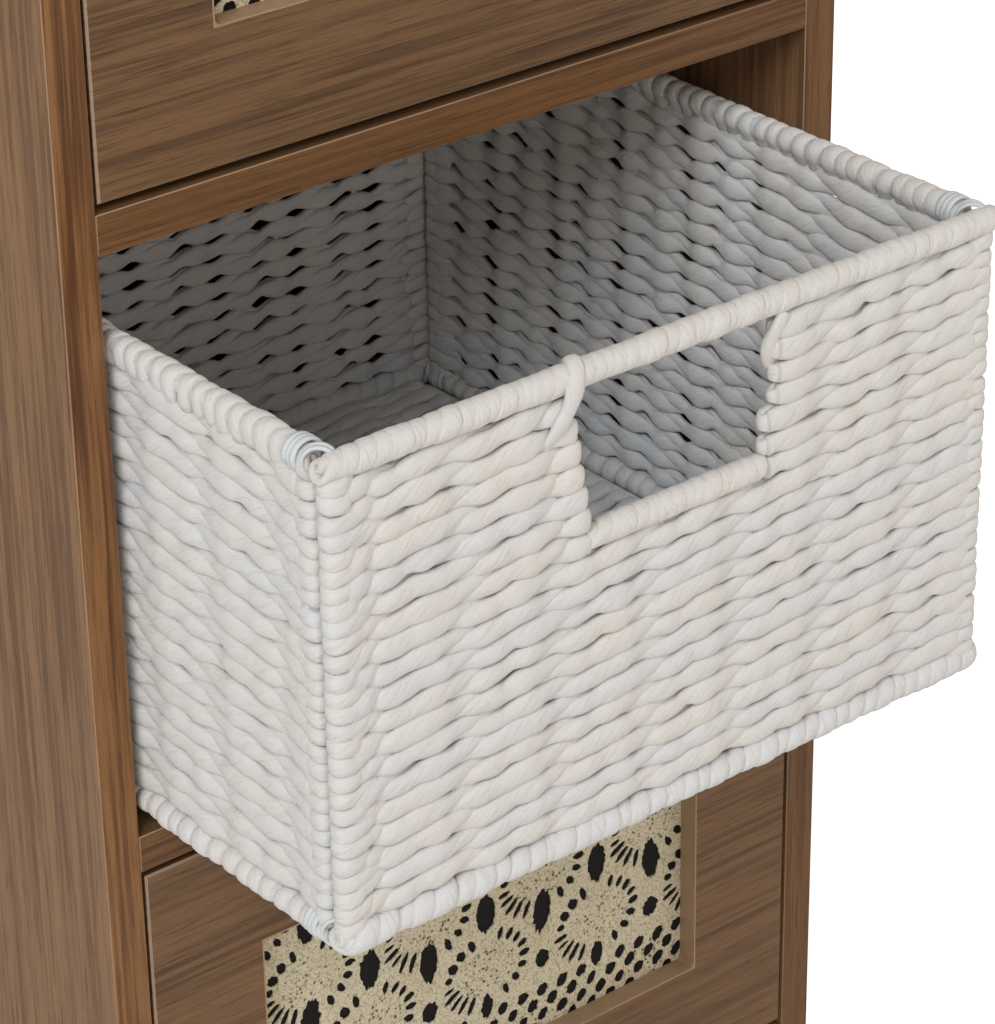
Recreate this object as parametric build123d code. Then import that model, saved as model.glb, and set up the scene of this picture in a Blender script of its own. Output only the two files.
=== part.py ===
from build123d import *
import os
from math import atan2, cos, pi, sin

os.makedirs("parts", exist_ok=True)

# The cabinet stands on Z = 0 with its front towards -Y and its middle at X = 0.
# Y = 0 is halfway between the front of the pulled-out basket and the back edges of the sides.

# Carcass
cabinet_width = 350
cabinet_depth = 360
board = 15
edging = 1
toe_space = 30
drawer_bay_height = 216
basket_bay_height = 228
top_overhang = 8
back_thickness = 4
back_inset = 8
back_groove_depth = 6
groove_play = 0.1
overrun = 5

# Floor glides
glide_height = 4
glide_diameter = 13
glide_pin_diameter = 2
glide_pin_length = 12
glide_setback = 35

# Dowels and cam fittings that join the boards
dowel_diameter = 8
dowel_depth_shelf = 20
dowel_depth_side = 10
hole_play = 0.05
hole_bottom_play = 0.5
cam_diameter = 15
cam_height = 12.5
cam_backset = 34
bolt_diameter = 6
bolt_head_diameter = 8
bolt_head_length = 3
bolt_thread_diameter = 5
bolt_thread_depth = 10
bolt_bore_diameter = 9
cam_slot_width = 1.5
cam_slot_length = 9
cam_slot_depth = 2
cam_setback = 50
dowel_offset = 32

# Screws
screw_length = 16
screw_diameter = 3.5
screw_head_diameter = 7
screw_head_height = 2.5
screw_recess_length = 4
screw_recess_width = 0.8
screw_recess_depth = 1.2
screw_play = 0.05

# Runners of the wooden drawers and cleats under the basket
runner_height = 12
runner_thickness = 10
runner_setback = 35
runner_lift = 95
runner_screw_inset = 30
cleat_height = 6
cleat_width = 22
cleat_setback = 20
cleat_back_gap = 18
cleat_screw_inset = 47

# Wooden drawers
front_side_gap = 1.5
front_top_gap = 2.5
front_bottom_gap = 3.5
front_chamfer = 0.8
window_margin = 50
window_corner_radius = 2.5
reveal_depth = 9
rebate_margin = 8
lace_thickness = 0.8
backing_thickness = 3
lace_play = 0.5
bead_width = 11
drawer_side_play = 4.5
drawer_side_thickness = 12
drawer_side_height = 150
drawer_back_gap = 13
drawer_box_lift = 10
drawer_bottom_thickness = 4
drawer_bottom_lift = 8
drawer_groove_depth = 5
runner_groove_play = 0.5
runner_seat_gap = 0.3
drawer_dowel_diameter = 6
drawer_dowel_depth = 8
drawer_dowel_inset = 25

# Woven basket
basket_pull_out = 120
basket_left_play = 2
basket_right_play = 14
basket_back_gap = 8
basket_headroom = 29.7
basket_seat_gap = 0.3
wire_diameter = 4
wire_play = 0.1
wrap_thickness = 4
wall_thickness = 9
rope_gap = 0.3
frame_bend_radius = 8
floor_wire_inset = 5
hand_hole_width = 85
hand_hole_height = 52
hand_bar_diameter = 9
hand_bar_wire_reach = 14
tie_thickness = 1.1
tie_width = 8
tie_setback = 2

# Lace
motif_pitch = 58
motif_row_pitch = 34
motif_shift = 5
motif_lift = 25.7
ring_half_width = 19.5
ring_half_height = 15.5
ring_count = 18
slot_length = 6
slot_width = 2.8
ring_gap_above = 6
ring_gap_below = 5
under_drop_length = 20
under_drop_width = 9.4
side_drop_length = 18.5
side_drop_width = 10
low_under_drop_length = 12
low_under_drop_width = 6.5
low_side_drop_length = 9.5
low_side_drop_width = 8
under_drop_distance = 18
side_drop_distance = 7.5
ground_height = 19.5
ground_lift = 4.2
ground_pitch = 10.4
ground_row_pitch = 6.1
ground_eyelet_diameter = 5.4
lace_edge = 3

# Levels, worked out from the heights above
half_width = cabinet_width / 2
inner_half = half_width - board
side_bottom = glide_height
bottom_low = side_bottom + toe_space
bottom_high = bottom_low + board
lower_shelf_low = bottom_high + drawer_bay_height
lower_shelf_high = lower_shelf_low + board
upper_shelf_low = lower_shelf_high + basket_bay_height
upper_shelf_high = upper_shelf_low + board
top_low = upper_shelf_high + drawer_bay_height
top_high = top_low + board
front_y = (basket_pull_out - cabinet_depth) / 2
back_y = front_y + cabinet_depth
core_front_y = front_y + edging
back_panel_rear = back_y - back_inset
back_panel_front = back_panel_rear - back_thickness
drawer_box_back_y = back_panel_front - drawer_back_gap
shelf_levels = {"bottom_panel": bottom_low, "lower_shelf": lower_shelf_low, "upper_shelf": upper_shelf_low}


def span(x, y, z):
    """A block between two X, two Y and two Z values."""
    middle = [(low + high) / 2 for low, high in (x, y, z)]
    size = [high - low for low, high in (x, y, z)]
    return Pos(*middle) * Box(*size)


def rod(start, end, diameter):
    """A round bar between two points."""
    path = Vector(*end) - Vector(*start)
    place = Plane(origin=start, z_dir=path)
    stands_on_start = (Align.CENTER, Align.CENTER, Align.MIN)
    return place * Cylinder(diameter / 2, path.length, align=stands_on_start)


def write(name, *solids):
    """Writes one sub-part, as one solid or as a group of separate solids."""
    shapes = [solid for item in solids for solid in item.solids()]
    whole = shapes[0] if len(shapes) == 1 else Compound(children=shapes)
    export_step(whole, f"parts/{name}.step")


def cut(body, tools):
    """Takes a list of tools away from a body."""
    return body - tools if tools else body


# Cam fittings and dowels. Each is drawn at the joint between two boards: +X runs into the board that
# holds the cam, -Z is the face that the cam is pressed in from, and the other board lies at -X.
def dowel_at(joint):
    return joint * rod((-dowel_depth_side, 0, 0), (dowel_depth_shelf, 0, 0), dowel_diameter)


def dowel_hole_at(joint):
    start = (-dowel_depth_side - hole_bottom_play, 0, 0)
    end = (dowel_depth_shelf + hole_bottom_play, 0, 0)
    return joint * rod(start, end, dowel_diameter + 2 * hole_play)


def cam_at(joint):
    low = -board / 2
    disc = rod((cam_backset, 0, low), (cam_backset, 0, low + cam_height), cam_diameter)
    throat = rod((0, 0, 0), (cam_backset, 0, 0), bolt_bore_diameter)
    slot_size = (cam_slot_length / 2, cam_slot_width / 2)
    depth = (low - overrun, low + cam_slot_depth)
    slots = []
    for half_x, half_y in (slot_size, slot_size[::-1]):
        slots.append(span((cam_backset - half_x, cam_backset + half_x), (-half_y, half_y), depth))
    return joint * (disc - [throat] - slots)


def bolt_at(joint):
    head_start = cam_backset - cam_diameter / 2 + bolt_head_length / 2
    head_end = head_start + bolt_head_length
    thread = rod((-bolt_thread_depth, 0, 0), (0, 0, 0), bolt_thread_diameter)
    shank = rod((0, 0, 0), (head_start, 0, 0), bolt_diameter)
    head = rod((head_start, 0, 0), (head_end, 0, 0), bolt_head_diameter)
    return joint * (thread + shank + head)


def cam_cuts_at(joint):
    """The pocket and bore in the board that holds the cam."""
    low = -board / 2
    pocket_top = low + cam_height + hole_bottom_play
    pocket = rod((cam_backset, 0, low - overrun), (cam_backset, 0, pocket_top), cam_diameter + 2 * hole_play)
    bore = rod((-overrun, 0, 0), (cam_backset, 0, 0), bolt_bore_diameter)
    return [joint * pocket, joint * bore]


def bolt_hole_at(joint):
    """The blind hole that the bolt is screwed into."""
    start = (-bolt_thread_depth - hole_bottom_play, 0, 0)
    return joint * rod(start, (overrun, 0, 0), bolt_thread_diameter + 2 * hole_play)


def shelf_joint(side, level, y):
    """The joint of a shelf with a side panel. side is -1 on the left and 1 on the right."""
    origin = (side * inner_half, y, level + board / 2)
    return Plane(origin=origin, x_dir=(-side, 0, 0), z_dir=(0, 0, 1))


def top_joint(side, y):
    """The joint of the top panel with a side panel, whose cams sit in the side's inner face."""
    origin = (side * (half_width - board / 2), y, top_low)
    return Plane(origin=origin, x_dir=(0, 0, -1), z_dir=(side, 0, 0))


joint_front = core_front_y + cam_setback
joint_back = back_panel_front - cam_setback
cam_places = (joint_front, joint_back)
dowel_places = (joint_front + dowel_offset, joint_back - dowel_offset)

dowels = []
cams = []
bolts = []
side_cuts = {-1: [], 1: []}
shelf_cuts = {name: [] for name in shelf_levels}
top_cuts = []
for side in (-1, 1):
    for name, level in shelf_levels.items():
        for y in cam_places:
            joint = shelf_joint(side, level, y)
            cams.append(cam_at(joint))
            bolts.append(bolt_at(joint))
            shelf_cuts[name] += cam_cuts_at(joint)
            side_cuts[side].append(bolt_hole_at(joint))
        for y in dowel_places:
            joint = shelf_joint(side, level, y)
            dowels.append(dowel_at(joint))
            shelf_cuts[name].append(dowel_hole_at(joint))
            side_cuts[side].append(dowel_hole_at(joint))
    for y in cam_places:
        joint = top_joint(side, y)
        cams.append(cam_at(joint))
        bolts.append(bolt_at(joint))
        side_cuts[side] += cam_cuts_at(joint)
        top_cuts.append(bolt_hole_at(joint))
    for y in dowel_places:
        joint = top_joint(side, y)
        dowels.append(dowel_at(joint))
        side_cuts[side].append(dowel_hole_at(joint))
        top_cuts.append(dowel_hole_at(joint))


# Countersunk screws. The head's flat face is at the origin and the point lies along +Z.
def screw_at(place, length=screw_length):
    head = Cone(screw_head_diameter / 2, screw_diameter / 2, screw_head_height)
    head = Pos(0, 0, screw_head_height / 2) * head
    shank = rod((0, 0, screw_head_height), (0, 0, length), screw_diameter)
    half_long = screw_recess_length / 2
    half_wide = screw_recess_width / 2
    depth = (-overrun, screw_recess_depth)
    cross = [span((-half_long, half_long), (-half_wide, half_wide), depth)]
    cross.append(span((-half_wide, half_wide), (-half_long, half_long), depth))
    return place * (head + shank - cross)


def screw_hole_at(place, length=screw_length):
    wide = screw_head_diameter / 2 + screw_play
    narrow = screw_diameter / 2 + screw_play
    sink = Pos(0, 0, screw_head_height / 2) * Cone(wide, narrow, screw_head_height)
    mouth = rod((0, 0, -overrun), (0, 0, 0), 2 * wide)
    shank = rod((0, 0, 0), (0, 0, length + hole_bottom_play), 2 * narrow)
    return place * (sink + mouth + shank)


# Runners for the two wooden drawers, screwed to the sides
runner_screws = []
runner_front_y = front_y + runner_setback
runner_back_y = drawer_box_back_y
runner_screw_places = (
    runner_front_y + runner_screw_inset,
    (runner_front_y + runner_back_y) / 2,
    runner_back_y - runner_screw_inset,
)
drawer_bays = {"lower": bottom_high, "upper": upper_shelf_high}
side_names = {-1: "left", 1: "right"}
for bay_name, bay_low in drawer_bays.items():
    runner_low = bay_low + runner_lift
    runner_high = runner_low + runner_height
    for side, side_name in side_names.items():
        inner_face = side * (inner_half - runner_thickness)
        x = sorted((side * inner_half, inner_face))
        strip = span(x, (runner_front_y, runner_back_y), (runner_low, runner_high))
        holes = []
        for y in runner_screw_places:
            place = Plane(origin=(inner_face, y, (runner_low + runner_high) / 2), z_dir=(side, 0, 0))
            runner_screws.append(screw_at(place))
            holes.append(screw_hole_at(place))
        side_cuts[side] += holes
        write(f"{bay_name}_{side_name}_runner", cut(strip, holes))

# Cleats that the basket slides on, screwed down to the lower shelf
cleat_front_y = front_y + cleat_setback
cleat_back_y = back_panel_front - cleat_back_gap
cleat_top = lower_shelf_high + cleat_height
cleat_screw_places = (
    cleat_front_y + cleat_screw_inset,
    (cleat_front_y + cleat_back_y) / 2,
    cleat_back_y - cleat_screw_inset,
)
for side, side_name in side_names.items():
    x = sorted((side * inner_half, side * (inner_half - cleat_width)))
    strip = span(x, (cleat_front_y, cleat_back_y), (lower_shelf_high, cleat_top))
    holes = []
    for y in cleat_screw_places:
        centre = (side * (inner_half - cleat_width / 2), y, cleat_top)
        place = Plane(origin=centre, z_dir=(0, 0, -1))
        runner_screws.append(screw_at(place))
        holes.append(screw_hole_at(place))
    shelf_cuts["lower_shelf"] += holes
    write(f"basket_{side_name}_cleat", cut(strip, holes))

# Floor glides, nailed up into the bottom edges of the sides
glides = []
for side in (-1, 1):
    for y in (front_y + glide_setback, back_y - glide_setback):
        x = side * (half_width - board / 2)
        foot = rod((x, y, 0), (x, y, glide_height), glide_diameter)
        pin = rod((x, y, glide_height), (x, y, glide_height + glide_pin_length), glide_pin_diameter)
        glides.append(foot + pin)
        pin_top = glide_height + glide_pin_length + hole_bottom_play
        pin_hole = rod((x, y, 0), (x, y, pin_top), glide_pin_diameter + 2 * hole_play)
        side_cuts[side].append(pin_hole)

# Sides, with a groove near the rear edge for the back panel
groove_y = (back_panel_front - groove_play, back_panel_rear + groove_play)
for side, side_name in side_names.items():
    x = sorted((side * half_width, side * inner_half))
    z = (side_bottom, top_low)
    groove_x = sorted((side * (inner_half - overrun), side * (inner_half + back_groove_depth)))
    groove = span(groove_x, groove_y, (bottom_low - groove_play, top_low + overrun))
    panel = span(x, (core_front_y, back_y), z)
    write(f"{side_name}_side_panel", cut(panel, [groove] + side_cuts[side]))
    write(f"{side_name}_front_edging", span(x, (front_y, core_front_y), z))

# Shelves and bottom panel, between the sides and in front of the back panel
for name, level in shelf_levels.items():
    x = (-inner_half, inner_half)
    z = (level, level + board)
    shelf = span(x, (core_front_y, back_panel_front - groove_play), z)
    write(name, cut(shelf, shelf_cuts[name]))
    write(f"{name}_edging", span(x, (front_y, core_front_y), z))

# Top panel, which lies on the sides and stands out past them
top_half = half_width + top_overhang
top_front_y = front_y - top_overhang
top_core_half = top_half - edging
top_core_front = top_front_y + edging
top_z = (top_low, top_high)
top_panel = span((-top_core_half, top_core_half), (top_core_front, back_y), top_z)
write("top_panel", cut(top_panel, top_cuts))
write(
    "top_panel_edging",
    span((-top_half, top_half), (top_front_y, top_core_front), top_z),
    span((-top_half, -top_core_half), (top_core_front, back_y), top_z),
    span((top_core_half, top_half), (top_core_front, back_y), top_z),
)

back_half = inner_half + back_groove_depth - groove_play
write("back_panel", span((-back_half, back_half), (back_panel_front, back_panel_rear), (bottom_low, top_low)))

write("carcass_dowels", *dowels)
write("cam_housings", *cams)
write("cam_bolts", *bolts)
write("runner_screws", *runner_screws)
write("floor_glides", *glides)


# Lace: a cotton sheet with staggered rows of solid round motifs over a band of netted ground. A ring of
# slots lies round each motif, with long drops between the motifs and shorter ones over the ground.
def pointed_gap(x, z, length, width, angle):
    """A gap with two curved sides and pointed ends, its length along the given angle."""
    along = Vector(cos(angle), sin(angle)) * (length / 2)
    across = Vector(-sin(angle), cos(angle)) * (width / 2)
    centre = Vector(x, z)
    tip = centre + along
    tail = centre - along
    return Wire([ThreePointArc(tail, centre + across, tip), ThreePointArc(tip, centre - across, tail)])


def round_gap(x, z, diameter):
    return Wire.make_circle(diameter / 2, Plane(origin=(x, z, 0)))


def spaced(count, spacing):
    """Places either side of zero, with the given spacing."""
    return [(index - (count - 1) / 2) * spacing for index in range(count)]


def lace_gaps(half_x, half_z):
    """The gaps of a sheet whose pattern reaches the given distances from its middle."""
    gaps = []
    ground_top = ground_height - half_z
    for row in range(int(ground_height // ground_row_pitch)):
        shift = ground_pitch / 4 if row % 2 else -ground_pitch / 4
        z = ground_lift + row * ground_row_pitch - half_z
        for place in spaced(int(2 * half_x // ground_pitch), ground_pitch):
            gaps.append(round_gap(place + shift, z, ground_eyelet_diameter))

    def keep(x, z, length, width, angle):
        reach_x = abs(cos(angle)) * length / 2 + abs(sin(angle)) * width / 2
        reach_z = abs(sin(angle)) * length / 2 + abs(cos(angle)) * width / 2
        if abs(x) + reach_x < half_x and ground_top + reach_z < z < half_z - reach_z:
            gaps.append(pointed_gap(x, z, length, width, angle))

    columns = int(half_x // motif_pitch) + 2
    first_row = ground_top + motif_lift
    for row in range(int((half_z + motif_row_pitch - first_row) // motif_row_pitch) + 1):
        shift = motif_shift - motif_pitch / 2 if row % 2 else motif_shift
        if row == 0:
            under_drop = low_under_drop_length, low_under_drop_width
            side_drop = low_side_drop_length, low_side_drop_width
        else:
            under_drop = under_drop_length, under_drop_width
            side_drop = side_drop_length, side_drop_width
        for column in range(-columns, columns + 1):
            motif_x = column * motif_pitch + shift
            motif_z = first_row + row * motif_row_pitch
            keep(motif_x, motif_z - under_drop_distance, *under_drop, pi / 2)
            keep(motif_x - motif_pitch / 2, motif_z - side_drop_distance, *side_drop, pi / 2)
            for index in range(ring_count):
                turn = 2 * pi * (index + 1 / 2) / ring_count
                across = ring_half_width * cos(turn)
                up = ring_half_height * sin(turn)
                clear_of_drops = abs(across) > (ring_gap_above if up > 0 else ring_gap_below)
                if clear_of_drops:
                    keep(motif_x + across, motif_z + up, slot_length, slot_width, atan2(up, across))
    return gaps


def lace_sheet(half_x, half_z, y, centre_z):
    """The lace, standing upright with its front face at the given Y."""
    outline = Wire.make_polygon([(-half_x, -half_z), (half_x, -half_z), (half_x, half_z), (-half_x, half_z)])
    gaps = lace_gaps(half_x - lace_edge, half_z - lace_edge)
    upright = Plane(origin=(0, y, centre_z), x_dir=(1, 0, 0), z_dir=(0, -1, 0))
    return upright * extrude(Face(outline, gaps), -lace_thickness)


# Wooden drawers. The box hangs behind the front, with a groove in each side that slides on the runner.
front_half = inner_half - front_side_gap
box_half = inner_half - drawer_side_play
box_inner_half = box_half - drawer_side_thickness
box_front_y = front_y + board
box_back_y = drawer_box_back_y
front_height = drawer_bay_height - front_top_gap - front_bottom_gap
groove_reach = runner_thickness - drawer_side_play + runner_groove_play
for bay_name, bay_low in drawer_bays.items():
    front_low = bay_low + front_bottom_gap
    front_high = front_low + front_height
    front_middle = (front_low + front_high) / 2
    window_half_x = front_half - window_margin
    window_half_z = front_height / 2 - window_margin
    rebate_half_x = window_half_x + rebate_margin
    rebate_half_z = window_half_z + rebate_margin
    box_low = front_low + drawer_box_lift
    box_high = box_low + drawer_side_height
    bottom_panel_low = box_low + drawer_bottom_lift
    bottom_panel_high = bottom_panel_low + drawer_bottom_thickness
    bottom_groove_z = (bottom_panel_low - groove_play, bottom_panel_high + groove_play)
    reveal_y = front_y + reveal_depth
    bottom_half = box_inner_half + drawer_groove_depth - groove_play
    bottom_front_y = box_front_y - drawer_groove_depth + groove_play

    # Drawer front, with a window cut through it and a rebate behind for the lace and its backing
    blank = span((-front_half, front_half), (front_y, box_front_y), (front_low, front_high))
    face_edges = blank.faces().sort_by(Axis.Y)[0].edges()
    blank = chamfer(face_edges, front_chamfer)
    window = span(
        (-window_half_x, window_half_x),
        (front_y - overrun, box_front_y + overrun),
        (front_middle - window_half_z, front_middle + window_half_z),
    )
    window = fillet(window.edges().filter_by(Axis.Y), window_corner_radius)
    rebate = span(
        (-rebate_half_x, rebate_half_x),
        (reveal_y, box_front_y + overrun),
        (front_middle - rebate_half_z, front_middle + rebate_half_z),
    )
    bottom_slot = span((-bottom_half - groove_play, bottom_half + groove_play),
                       (box_front_y - drawer_groove_depth, box_front_y + overrun), bottom_groove_z)
    dowel_holes = []
    drawer_dowels = []
    for side in (-1, 1):
        x = side * (box_half - drawer_side_thickness / 2)
        for z in (box_low + drawer_dowel_inset, box_high - drawer_dowel_inset):
            start = (x, box_front_y - drawer_dowel_depth, z)
            end = (x, box_front_y + drawer_dowel_depth, z)
            drawer_dowels.append(rod(start, end, drawer_dowel_diameter))
            hole_start = (x, box_front_y - drawer_dowel_depth - hole_bottom_play, z)
            hole_end = (x, box_front_y + drawer_dowel_depth + hole_bottom_play, z)
            dowel_holes.append(rod(hole_start, hole_end, drawer_dowel_diameter + 2 * hole_play))
    write(f"{bay_name}_drawer_front", cut(blank, [window, rebate, bottom_slot] + dowel_holes))
    write(f"{bay_name}_drawer_dowels", *drawer_dowels)

    # Lace against the rebate's shoulder, a black board behind it, and beading that holds both
    lace_half_x = rebate_half_x - lace_play
    lace_half_z = rebate_half_z - lace_play
    lace = lace_sheet(lace_half_x, lace_half_z, reveal_y, front_middle)
    backing_y = reveal_y + lace_thickness
    bead_y = backing_y + backing_thickness
    lace_z = (front_middle - lace_half_z, front_middle + lace_half_z)
    backing = span((-lace_half_x, lace_half_x), (backing_y, bead_y), lace_z)
    beads = []
    for end in (-1, 1):
        low, high = sorted((end * lace_half_z, end * (lace_half_z - bead_width)))
        beads.append(span((-lace_half_x, lace_half_x), (bead_y, box_front_y),
                          (front_middle + low, front_middle + high)))
        x = sorted((end * lace_half_x, end * (lace_half_x - bead_width)))
        beads.append(span(x, (bead_y, box_front_y),
                          (lace_z[0] + bead_width, lace_z[1] - bead_width)))
    write(f"{bay_name}_lace", lace)
    write(f"{bay_name}_backing", backing)
    write(f"{bay_name}_beading", *beads)

    # Box sides, grooved outside for the runner and inside for the bottom
    runner_low = bay_low + runner_lift
    runner_groove_z = (runner_low - runner_groove_play, runner_low + runner_height + runner_seat_gap)
    back_front_y = box_back_y - drawer_side_thickness
    screws = []
    back_holes = []
    for side, side_name in side_names.items():
        x = sorted((side * box_half, side * box_inner_half))
        panel = span(x, (box_front_y, box_back_y), (box_low, box_high))
        groove_x = sorted((side * (box_half + overrun), side * (box_half - groove_reach)))
        runner_groove = span(groove_x, (runner_front_y - runner_seat_gap, box_back_y + overrun),
                             runner_groove_z)
        slot_x = sorted((side * (box_inner_half - overrun), side * (box_inner_half + drawer_groove_depth)))
        slot = span(slot_x, (box_front_y - overrun, box_back_y + overrun), bottom_groove_z)
        screw_holes = []
        for z in (box_low + drawer_dowel_inset, box_high - drawer_dowel_inset):
            origin = (side * box_half, (back_front_y + box_back_y) / 2, z)
            place = Plane(origin=origin, z_dir=(-side, 0, 0))
            screws.append(screw_at(place, screw_length + drawer_side_thickness))
            screw_holes.append(screw_hole_at(place, screw_length + drawer_side_thickness))
        back_holes += screw_holes
        cuts = [runner_groove, slot] + screw_holes + dowel_holes
        write(f"{bay_name}_drawer_{side_name}_side", cut(panel, cuts))
    write(f"{bay_name}_drawer_screws", *screws)
    back = span((-box_inner_half, box_inner_half), (back_front_y, box_back_y),
                (bottom_panel_high + groove_play, box_high))
    write(f"{bay_name}_drawer_back", cut(back, back_holes))
    bottom = span((-bottom_half, bottom_half), (bottom_front_y, box_back_y),
                  (bottom_panel_low, bottom_panel_high))
    write(f"{bay_name}_drawer_bottom", bottom)


# Basket: five woven panels on wire frames, with rope wound round the wires at the rims and at the foot
bar_diameter = wire_diameter + 2 * wrap_thickness
bar_radius = bar_diameter / 2
wall_half = wall_thickness / 2
basket_x0 = basket_left_play - inner_half
basket_x1 = inner_half - basket_right_play
basket_y0 = front_y - basket_pull_out
basket_y1 = back_panel_front - basket_back_gap - basket_pull_out
basket_z0 = cleat_top + basket_seat_gap
basket_z1 = upper_shelf_low - basket_headroom
rim_z = basket_z1 - bar_radius
foot_z = basket_z0 + bar_radius
front_wall_y = basket_y0 + bar_radius
back_wall_y = basket_y1 - bar_radius
left_wall_x = basket_x0 + bar_radius
right_wall_x = basket_x1 - bar_radius
side_bar_y0 = basket_y0 + bar_diameter + rope_gap
side_bar_y1 = basket_y1 - bar_diameter - rope_gap
side_wall_y0 = front_wall_y + wall_half + rope_gap
side_wall_y1 = back_wall_y - wall_half - rope_gap


def wire_loop(plane, half_long, half_high, diameter):
    """A rectangular loop of bent wire, in the given plane round its origin."""
    low, high = -half_high, half_high
    corners = [(-half_long, low), (half_long, low), (half_long, high), (-half_long, high)]
    path = FilletPolyline(*corners, radius=frame_bend_radius, close=True)
    start = Plane(origin=path @ 0, z_dir=path % 0)
    return plane * sweep(start * Circle(diameter / 2), path=path)


def wound_bar(start, end):
    """A bar of wound rope with rounded ends, both ends inside the given points."""
    path = Vector(*end) - Vector(*start)
    pull = path.normalized() * bar_radius
    first = Vector(*start) + pull
    last = Vector(*end) - pull
    bar = rod(first, last, bar_diameter)
    return bar + Pos(*first) * Sphere(bar_radius) + Pos(*last) * Sphere(bar_radius)


def woven_wall(x, y, along, half_long):
    """A wall slab with round ends, between the axis of its foot and the axis of its rim."""
    base = Plane(origin=(x, y, foot_z), x_dir=along, z_dir=(0, 0, 1))
    return extrude(base * SlotOverall(2 * half_long, wall_thickness), rim_z - foot_z)


wall_middle_z = (rim_z + foot_z) / 2
loop_half_high = (rim_z - foot_z) / 2
side_middle_y = (side_wall_y0 + side_wall_y1) / 2
middle_x = (basket_x0 + basket_x1) / 2
across_half = (right_wall_x - left_wall_x) / 2
side_half = (side_wall_y1 - side_wall_y0) / 2
walls = {
    "front": ((middle_x, front_wall_y), (1, 0, 0), across_half, across_half + wall_half),
    "back": ((middle_x, back_wall_y), (1, 0, 0), across_half, across_half + wall_half),
    "left": ((left_wall_x, side_middle_y), (0, 1, 0), side_half - wall_half, side_half),
    "right": ((right_wall_x, side_middle_y), (0, 1, 0), side_half - wall_half, side_half),
}
hand_hole_low = basket_z1 - bar_diameter - hand_hole_height
hand_bar_z = hand_hole_low - hand_bar_diameter / 2
hand_half = hand_hole_width / 2
hand_hole = span(
    (middle_x - hand_half, middle_x + hand_half),
    (basket_y0 - overrun, basket_y0 + bar_diameter + overrun),
    (hand_hole_low - hand_bar_diameter, rim_z),
)
hand_wire_half = hand_half + hand_bar_wire_reach
hand_wire_ends = [(middle_x + end * hand_wire_half, front_wall_y, hand_bar_z) for end in (-1, 1)]

frames = []
feet = []
ties = []
tie_inner = bar_diameter - 2 * tie_thickness
for name, (centre, along, loop_half, slab_half) in walls.items():
    x, y = centre
    upright = Plane(origin=(x, y, wall_middle_z), x_dir=along, z_dir=Vector(*along).cross(Vector(0, 0, 1)))
    frames.append(wire_loop(upright, loop_half, loop_half_high, wire_diameter))
    channel = wire_loop(upright, loop_half, loop_half_high, wire_diameter + 2 * wire_play)
    if name in ("front", "back"):
        ends = [(basket_x0 + rope_gap, y), (basket_x1 - rope_gap, y)]
    else:
        ends = [(x, side_bar_y0), (x, side_bar_y1)]
    rim = wound_bar((*ends[0], rim_z), (*ends[1], rim_z))
    foot = wound_bar((*ends[0], foot_z), (*ends[1], foot_z))
    bands = []
    if name in ("left", "right"):
        first = side_bar_y0 + bar_radius + tie_setback
        last = side_bar_y1 - bar_radius - tie_setback
        for z in (rim_z, foot_z):
            for low, high in ((first, first + tie_width), (last - tie_width, last)):
                band = rod((x, low, z), (x, high, z), bar_diameter)
                bands.append(band - rod((x, low, z), (x, high, z), tie_inner))
        ties += bands
    slab = woven_wall(x, y, along, slab_half)
    seats = []
    reach = loop_half + cabinet_depth
    for z in (rim_z, foot_z):
        start = Vector(x, y, z) - Vector(*along) * reach
        end = Vector(x, y, z) + Vector(*along) * reach
        seats.append(rod(start, end, bar_diameter + 2 * rope_gap))
    cuts = seats + [channel]
    if name == "front":
        cuts += [hand_hole, rod(*hand_wire_ends, wire_diameter + 2 * wire_play)]
    write(f"basket_{name}_weave", cut(slab, cuts))
    write(f"basket_{name}_rim", cut(rim, [channel] + bands))
    feet.append(cut(foot, [channel] + bands))

# Basket floor, lying between the four foot bars
floor_x = (basket_x0 + bar_diameter + rope_gap, basket_x1 - bar_diameter - rope_gap)
floor_y = (basket_y0 + bar_diameter + rope_gap, basket_y1 - bar_diameter - rope_gap)
floor_plane = Plane(origin=(middle_x, (floor_y[0] + floor_y[1]) / 2, foot_z))
floor_half_x = (floor_x[1] - floor_x[0]) / 2 - floor_wire_inset
floor_half_y = (floor_y[1] - floor_y[0]) / 2 - floor_wire_inset
floor_slab = span(floor_x, floor_y, (foot_z - wall_half, foot_z + wall_half))
floor_channel = wire_loop(floor_plane, floor_half_x, floor_half_y, wire_diameter + 2 * wire_play)
frames.append(wire_loop(floor_plane, floor_half_x, floor_half_y, wire_diameter))
write("basket_floor_weave", floor_slab - floor_channel)

# Wound bar along the bottom of the hand hole, on its own short wire
hand_bar_half = hand_half - rope_gap
hand_bar_ends = [(middle_x + end * hand_bar_half, front_wall_y, hand_bar_z) for end in (-1, 1)]
hand_bar = rod(*hand_bar_ends, hand_bar_diameter)
hand_wire = rod(*hand_wire_ends, wire_diameter)
write("basket_hand_bar", hand_bar - rod(*hand_wire_ends, wire_diameter + 2 * wire_play))
frames.append(hand_wire)
write("basket_wire_frames", *frames)
write("basket_foot_bars", *feet)
write("basket_corner_ties", *ties)
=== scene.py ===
import math

import bmesh
import bpy
import numpy as np
from mathutils import Matrix, Vector


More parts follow.
